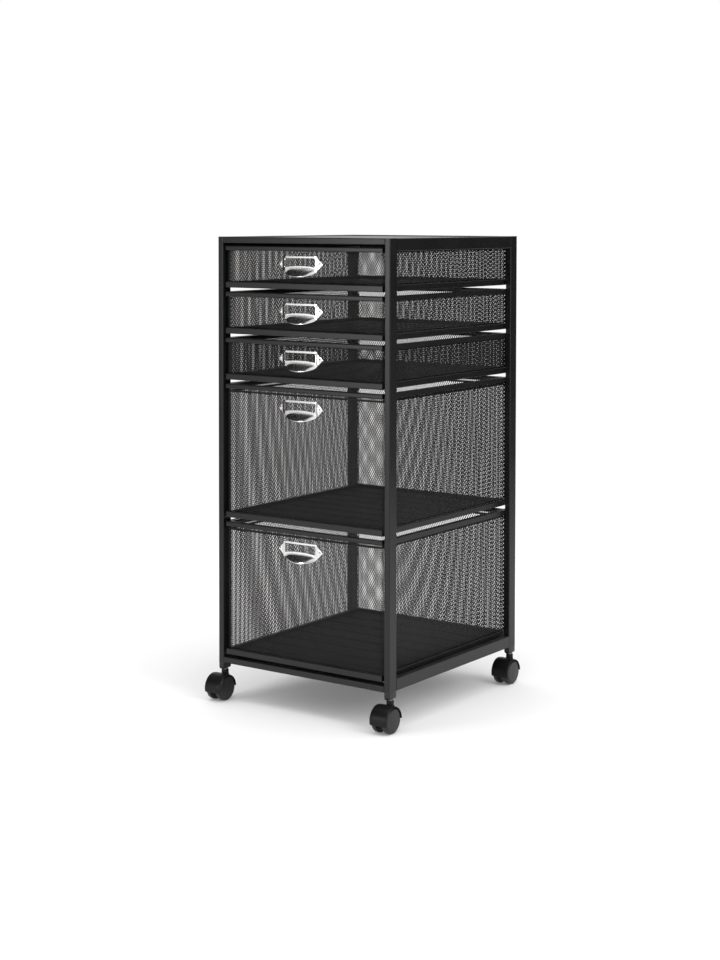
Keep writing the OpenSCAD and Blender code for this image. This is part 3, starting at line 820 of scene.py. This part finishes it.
def caster_hood(wheel_radius, neck_top):
    """Section: an outer line whose radius falls away towards the sides with the
    square of the way there, and an inner line that drops nearly to the axle in the web.
    It is swept by the angle t as (x, r cos t, r sin t). A hub is spun about the axle and
    the neck about the stem, whose top is neck_top above the axle."""
    half = np.array([WEB_HALF, WEB_HALF + 0.05, 8.0, 9.5, 11.0, 12.5, 13.8, 14.7, 15.2, 15.45, HOOD_HALF])
    x = np.concatenate([-half[::-1], half])
    away = np.clip((np.abs(x) - 7.5) / 8, 0, 1)
    soft = np.clip((np.abs(x) - 14.7) / 0.8, 0, 1)
    outer = wheel_radius + CROWN_RISE - CROWN_FALL * away**2 - EDGE_FALL * soft**2
    inner = np.where(np.abs(x) < WEB_HALF + 0.01, WEB_INNER, wheel_radius + 0.3 - 0.1 * away**2)
    section = np.concatenate([np.stack([x, outer], 1), np.stack([x, inner], 1)[::-1]])
    t = np.radians(np.linspace(0, HOOD_SWEEP, 66))[:, None]
    side, r = section.T
    rings = np.stack([side + 0 * t, r * np.cos(t), r * np.sin(t)], -1)
    rows, columns = rings.shape[:2]
    k = np.arange(len(x) - 1)
    end = np.stack([k, columns - 1 - k, columns - 2 - k, k + 1], 1)
    other = end[:, [1, 0, 3, 2]] + (rows - 1) * columns
    shell = outward(rings, np.concatenate([grid_quads(rows, columns, wrap_columns=True), end, other]))
    collar = [(5.8, neck_top - 0.7), (5.6, neck_top - 0.2), (5.1, neck_top), (0.3, neck_top)]
    points, quads = spun(NECK + collar, "z", 48)
    half_hub = [(0.3, WEB_HALF), (HUB_RADIUS, WEB_HALF)]
    hub = spun([(r, -x) for r, x in half_hub] + half_hub[::-1], "x", 48)
    return joined(shell, hub, (points + [0, CASTER_TRAIL, 0], quads))


print("hood sweeps over", HOOD_SWEEP, "degrees")


# %% Wheel and axle pin
def caster_wheel(side, radius):
    """The profile goes from the axis on the inner side, over the tread and the disc's
    bead and groove, to the middle of the swollen disc, and is spun about the axle."""
    tread = [(-0.9, 6.1), (-0.2, 6.5), (0, 7.2), (0, 11.6)]
    bead = [(-0.12, 12.2), (-0.5, 12.8), (-1.8, 14.1), (-2.3, 14.45), (-2.8, 14.55)]
    groove = [(-3.0, 14.4), (-3.15, 14.15), (-3.3, 14.1), (-3.45, 14.2)]
    rim = [(radius + r, x) for r, x in tread + bead + groove]
    r = (radius - 3.8) * np.linspace(1, 0.02, 12)
    face = np.stack([r, 14.9 - 0.7 * (r / radius) ** 2], 1)
    return spun(np.concatenate([[(0.2, 6.1)], rim, face]) * [1, side], "x", 96)


def axle_pin(radius, half=12.5, bevel=0.4):
    """A pin with bevelled ends, hidden in the hood and in both wheels."""
    line = [(0.1, half), (radius - bevel, half), (radius, half - bevel)]
    return spun([(r, -x) for r, x in line] + [(r, x) for r, x in reversed(line)], "x", 32)


print("wheel and pin ready")

# %% Casters in place
CORNERS = [f"{end}_{side}" for end in ("front", "rear") for side in ("left", "right")]
stem_places = []
for corner in CORNERS:
    hood_low, hood_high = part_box(f"{corner}_caster_hood")
    low, high = (np.array(v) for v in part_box(f"{corner}_caster_wheel_left"))
    axle = (low + high) / 2
    axle[0] = (hood_low[0] + hood_high[0]) / 2
    radius = 500 * (high[2] - low[2])
    points, quads = caster_hood(radius, NECK_TOP - 1000 * axle[2])
    hood = (f"{corner}_hood_shell", axle + points / 1000, quads, f"{corner}_caster", hood_plastic)
    make_piece(*hood, "black_plastic", [f"{corner}_caster_hood"], MOULDED)
    for side, name in ((-1, "left"), (1, "right")):
        points, quads = caster_wheel(side, radius)
        wheel = (f"{corner}_turned_wheel_{name}", axle + points / 1000, quads, f"{corner}_wheel_{name}")
        make_piece(*wheel, wheel_plastic, "black_plastic", [f"{corner}_caster_wheel_{name}"], MOULDED)
    pin_low, pin_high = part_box(f"{corner}_caster_axle")
    points, quads = axle_pin(500 * (pin_high[2] - pin_low[2]))
    pin = (f"{corner}_axle_pin", axle + points / 1000, quads, f"{corner}_caster", steel)
    make_piece(*pin, "steel", [f"{corner}_caster_axle"], MOULDED)
    stem_places.append([1000 * axle[0], 1000 * axle[1] + CASTER_TRAIL, 0])
print("wheels", round(2 * radius, 1), "mm across")

# %% [markdown]
# ## Feet and stems
#
# A moulded plug closes each post, and its bevelled head shows below the tube. A
# steel stem with a collar runs from the plug down into the caster's neck. The
# foot is a pile of rounded rectangles, each drawn in a little from the one above,
# and the stem is spun. Both reach up to the lower ends of the CAD posts.

# %% Feet and stems, in millimetres
FOOT_LOW = 49.0
FOOT_HALF = np.array([5.0, 10.0])
FOOT_BEVEL = [(0, 2.6), (0.25, 1.9), (1.6, 0.3), (2.2, 0)]


def stacked(outline, normals, profile):
    """Rings that follow a closed path, one for each (inset, z) of the profile."""
    level = np.ones(len(outline) - 1)
    return np.array([np.column_stack([(outline - normals * d)[:-1], z * level]) for d, z in profile])


def post_foot(place, top):
    """The plug's head under a post: rounded rectangles 10 by 20 mm wide, drawn in by
    the bevel towards the foot."""
    outline, normals = folded_path(-FOOT_HALF, FOOT_HALF, 1.8, 6)[1:]
    profile = [(0, top)] + [(draw_in, FOOT_LOW + z) for draw_in, z in FOOT_BEVEL]
    points, quads = capped_rings(stacked(outline, normals, profile))
    return points + place, quads


foot_top = 1000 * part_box("front_posts")[0][2]
feet = joined(*(post_foot(place, foot_top) for place in stem_places))
feet = ("post_feet", feet[0] / 1000, feet[1], "frame", plug_plastic)
make_piece(*feet, "black_plastic", ["post_plugs"], MOULDED)
COLLAR = [(0.2, 36.0), (3.0, 36.0), (3.0, NECK_TOP + 0.1), (4.4, NECK_TOP + 0.1), (4.6, NECK_TOP + 0.3)]
COLLAR += [(4.6, FOOT_LOW - 0.2), (4.4, FOOT_LOW), (3.0, FOOT_LOW), (3.0, foot_top), (0.2, foot_top)]
points, quads = spun(COLLAR, "z", 40)
stems = joined(*((points + place, quads) for place in stem_places))
make_piece("swivel_stems", stems[0] / 1000, stems[1], "frame", steel, "steel", ["caster_stems"], MOULDED)
print("feet from", FOOT_LOW, "to", round(foot_top, 1), "mm")

# %% [markdown]
# ## The top
#
# The top is a sheet with its borders folded down, and it sits a little below
# the rails' upper faces: in the photograph a dark line runs along its far edge,
# where the rear rail's inner face shows above the sheet. A bevelled box would
# look much the same from here, but the folds' soft edge is what catches the
# light, so the sheet's section follows its border: over the fold, and back
# underneath a millimetre lower.

# %% Sunk top sheet, in millimetres
SHEET_SUNK, SHEET_PLAY, SHEET_CORNER = 1.5, 0.2, 3
low, high = (1000 * np.array(v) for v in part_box("top_panel"))
border, normals = folded_path(low[:2] + SHEET_PLAY, high[:2] - SHEET_PLAY, SHEET_CORNER, 8)[1:]
FOLD_PROFILE = [(0, -6), (0, -1.2), (0.16, -0.6), (0.5, -0.16), (1.2, 0), (2.8, 0)]
UNDERSIDE = [(2.8, -1), (1.8, -1), (1.2, -1.3), (1, -1.9), (1, -6)]
section = [(inset, high[2] - SHEET_SUNK + z) for inset, z in FOLD_PROFILE[::-1] + UNDERSIDE[::-1]]
points, quads = capped_rings(stacked(border, normals, section))
make_piece("top_sheet", points / 1000, quads, "frame", sheet_coat, "frame_black", ["top_panel"], FOLDED)
print("top sheet:", len(quads), "faces, its top at", round(float(points[:, 2].max()), 1), "mm")

# %% [markdown]
# ## The floor
#
# The photograph was taken on white with soft light. The floor is white paint and
# keeps the object's shadow. A shadow catcher would need its picture laid over
# white afterwards. So the floor is real, and far from the object it turns to
# plain white for the camera and for reflections, and meets the white world with
# no line.

# %% Floor
FLOOR_SIZE = 30.0
# The painted glow that the floor keeps near the object, for the camera and for reflections: it lightens
# the object's shadow.
SHADOW_LIFT_GLOW = 0.08


def studio_floor(near=1.1, far=2.6):
    """A white floor that fades to plain white between two distances. Near the object a
    little painted glow is left, which lightens the object's shadow on the floor and
    keeps the paint from looking grey."""
    mesh = bpy.data.meshes.new("studio_floor")
    half = FLOOR_SIZE / 2
    corners = [(-half, -half, 0), (half, -half, 0), (half, half, 0), (-half, half, 0)]
    mesh.from_pydata(corners, [], [(0, 1, 2, 3)])
    material = bpy.data.materials.new("studio_white")
    g = graph(material)
    where = g.new("ShaderNodeTexCoord", {}, {}, "Object")
    distance = g.new("ShaderNodeVectorMath", {"operation": "LENGTH"}, {0: where}, "Value")
    away = ((distance - near) / (far - near)).clamped()
    path = g.new("ShaderNodeLightPath").socket.node.outputs
    seen = (Wire(g.tree, path["Is Camera Ray"]) + Wire(g.tree, path["Is Glossy Ray"])).clamped()
    # Near the object a little painted glow stays on, which lightens the object's shadow on the floor.
    lifted = SHADOW_LIFT_GLOW + away * (1 - SHADOW_LIFT_GLOW)
    paint = g.new("ShaderNodeBsdfDiffuse", {}, {"Color": (0.93, 0.93, 0.93, 1)})
    white = g.new("ShaderNodeEmission", {}, {"Color": (1, 1, 1, 1), "Strength": 1.0})
    both = g.new("ShaderNodeMixShader", {}, {0: lifted * seen, 1: paint, 2: white})
    g.new("ShaderNodeOutputMaterial", {}, {"Surface": both})
    mesh.materials.append(material)
    floor = bpy.data.objects.new("studio_floor", mesh)
    bpy.context.collection.objects.link(floor)
    floor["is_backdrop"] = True


studio_floor()
print("floor laid,", FLOOR_SIZE, "m across")

# %% [markdown]
# ## The white world
#
# The paper behind the object is plain white in the photograph. A world of white
# at strength 1 gives that to the camera, to reflections and as light from all
# sides, and no lamp has to be aimed at a backdrop.

# %% World
world = bpy.data.worlds.new("studio_world")
bpy.context.scene.world = world
g = graph(world)
sky = g.new("ShaderNodeBackground", {}, {"Color": (1, 1, 1, 1), "Strength": 1.0})
g.new("ShaderNodeOutputWorld", {}, {"Surface": sky})
print("world:", world.name)

# %% [markdown]
# ## Lamps
#
# The world alone would leave no shadow with a direction. A wide soft box hangs
# overhead, and one on the right lets the shadow on the floor lean to the left. A
# small one stands to the front left, where the front's bars and rails mirror it
# softly. Spots would give hard edges, which the photograph doesn't have.


# %% Lamps
def soft_box(name, place, target, size, power):
    """A rectangular area lamp that faces a point. Sizes are in metres, power in watts."""
    lamp = bpy.data.lights.new(name, "AREA")
    lamp.shape = "RECTANGLE"
    lamp.size, lamp.size_y = size
    lamp.energy = power
    box = bpy.data.objects.new(name, lamp)
    bpy.context.collection.objects.link(box)
    back = np.array(place, float) - np.array(target, float)
    back /= np.linalg.norm(back)
    right = np.cross([0.0, 0.0, 1.0], back)
    right /= np.linalg.norm(right)
    up = np.cross(back, right)
    facing = Matrix([list(right), list(up), list(back)]).transposed().to_4x4()
    box.matrix_world = Matrix.Translation(place) @ facing


soft_box("overhead_soft_box", (0.3, -0.4, 3.2), (0, 0, 0.4), (2.4, 2.4), 26)
soft_box("right_soft_box", (2.9, -0.3, 1.9), (0, 0, 0.5), (1.2, 1.6), 28)
soft_box("front_strip", (-1.18, -2.74, 0.66), (0, 0, 0.64), (0.4, 0.5), 16)

# %% [markdown]
# ## Dark cards
#
# What a dark, satin object shows is mostly what it mirrors. In the studio the
# low background is white, but the room in front of the object, above the
# horizon, is dark. Four dark cards stand for that room and its sides. They could
# be flat, but a part of a sphere is placed by its bearings and lifts alone, and
# those follow from what is mirrored where. Only reflections see the cards.

# %% Dark cards for reflections
CARD_MIDDLE = [0, 0, 0.5]
CARD_ROWS, CARD_COLUMNS = 13, 25


def dark_card(name, bearings, lifts, distance):
    """Part of a sphere about a point above the floor: bearings from the front (-Y)
    towards +X, and lifts above the horizon, both in degrees."""
    a = np.radians(np.linspace(*bearings, CARD_COLUMNS))[None, :]
    e = np.radians(np.linspace(*lifts, CARD_ROWS))[:, None]
    x = np.cos(e) * np.sin(a)
    y = -np.cos(e) * np.cos(a)
    z = np.sin(e) + 0 * a
    points = distance * np.stack([x, y, z], -1).reshape(-1, 3) + CARD_MIDDLE
    mesh = bpy.data.meshes.new(name)
    mesh.from_pydata(points.tolist(), [], grid_quads(CARD_ROWS, CARD_COLUMNS).tolist())
    material = bpy.data.materials.new(name)
    g = graph(material)
    cloth = g.new("ShaderNodeBsdfDiffuse", {}, {"Color": (0.02, 0.02, 0.02, 1)})
    g.new("ShaderNodeOutputMaterial", {}, {"Surface": cloth})
    mesh.materials.append(material)
    card = bpy.data.objects.new(name, mesh)
    bpy.context.collection.objects.link(card)
    for ray in ("camera", "diffuse", "shadow", "transmission"):
        setattr(card, f"visible_{ray}", False)
    card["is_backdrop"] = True


dark_card("dark_room_front", (-120, -10), (3, 58), 4.0)
dark_card("dark_room_left", (-120, -36), (-30, 8), 2.0)
dark_card("dark_room_right", (108, 176), (-14, 26), 2.0)
dark_card("dark_room_low", (-16, 14), (-14, 3), 2.0)
print("cards placed")

# %% [markdown]
# ## Colour and finish
#
# A film-like view transform would pull white down to a light grey, and the
# photograph's paper is plain white, so the view stays Standard. The box of what
# is visible is written beside the CAD model's, which it must not outgrow.

# %% Colour, size and finish
bpy.context.scene.view_settings.view_transform = "Standard"
print("visual box", plain_box())
